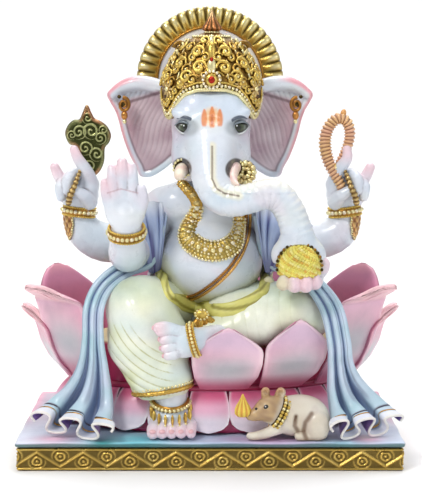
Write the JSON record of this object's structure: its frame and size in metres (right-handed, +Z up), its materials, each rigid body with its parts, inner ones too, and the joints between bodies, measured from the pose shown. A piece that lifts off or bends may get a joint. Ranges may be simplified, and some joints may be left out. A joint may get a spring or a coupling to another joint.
{
  "type": "ganesha idol",
  "caption": "Seated elephant-headed deity in painted marble with gilded jewellery and halo, on a lotus seat and a gilded plinth, with a mouse at its foot.",
  "frame": {"origin": "centre of the plinth's underside", "axes": "+X to the figure's left, -Y out of the figure's front, +Z up"},
  "size_m": [0.37, 0.23, 0.4425],
  "materials": {
    "white_marble": "polished white marble with hand-painted detail",
    "halo_marble": "polished cream-white marble",
    "gold_leaf": "gold leaf over carved relief, soft shine",
    "copper_gold": "reddish gold leaf, soft shine",
    "belt_green": "yellow-green enamel paint on marble",
    "dhoti_cream": "cream and pale green enamel paint on marble",
    "shawl_lilac": "pale blue-lilac enamel paint on marble",
    "lotus_pink": "grey-pink enamel paint, deeper at the edges",
    "lotus_magenta": "magenta enamel paint fading to white",
    "slab_blue": "white, turquoise and pink enamel paint on marble",
    "plinth_marble": "sawn white marble",
    "laddoo_yellow": "grainy yellow paint on marble",
    "mouse_beige": "cream-beige paint on marble, golden brown on the head",
    "dowel_steel": "stainless pin"
  },
  "bodies": {
    "root": {"head": "white_marble", "torso": "white_marble", "trunk": "white_marble", "ear_right": "white_marble", "ear_left": "white_marble", "tusk_right": "white_marble", "tusk_left": "white_marble", "arm_right_front": "white_marble", "arm_left_front": "white_marble", "arm_right_back": "white_marble", "arm_left_back": "white_marble", "foot_right": "white_marble", "foot_left": "white_marble", "halo_disc": "halo_marble", "halo_ray_ring": "gold_leaf", "crown_dome": "gold_leaf", "crown_band": "gold_leaf", "necklace": "gold_leaf", "sacred_thread": "gold_leaf", "belt_tassels": "gold_leaf", "axe": "gold_leaf", "earring_right": "gold_leaf", "earring_left": "gold_leaf", "bracelet_right_front": "gold_leaf", "bracelet_left_front": "gold_leaf", "bracelet_right_back": "gold_leaf", "bracelet_left_back": "gold_leaf", "anklet_right": "gold_leaf", "anklet_left": "gold_leaf", "mouse_collar": "gold_leaf", "gilded_frieze": "gold_leaf", "crown_finial": "copper_gold", "noose": "copper_gold", "waist_belt": "belt_green", "dhoti_right_leg": "dhoti_cream", "dhoti_left_leg": "dhoti_cream", "shawl_back": "shawl_lilac", "shawl_drape_right": "shawl_lilac", "shawl_drape_left": "shawl_lilac", "lotus_petal_01": "lotus_pink", "lotus_petal_02": "lotus_pink", "lotus_petal_03": "lotus_pink", "lotus_petal_04": "lotus_pink", "lotus_petal_05": "lotus_pink", "lotus_petal_06": "lotus_pink", "lotus_petal_07": "lotus_pink", "lotus_petal_08": "lotus_pink", "lotus_petal_09": "lotus_pink", "lotus_petal_10": "lotus_pink", "lotus_petal_11": "lotus_pink", "lotus_core": "lotus_magenta", "base_slab": "slab_blue", "plinth_core": "plinth_marble", "laddoo_heap": "laddoo_yellow", "mouse_sweet": "laddoo_yellow", "mouse_body": "mouse_beige", "dowel_lotus_to_slab": "dowel_steel", "dowel_torso_to_lotus": "dowel_steel", "dowel_head_to_torso": "dowel_steel", "dowel_crown_to_head": "dowel_steel"}
  },
  "joints": []
}
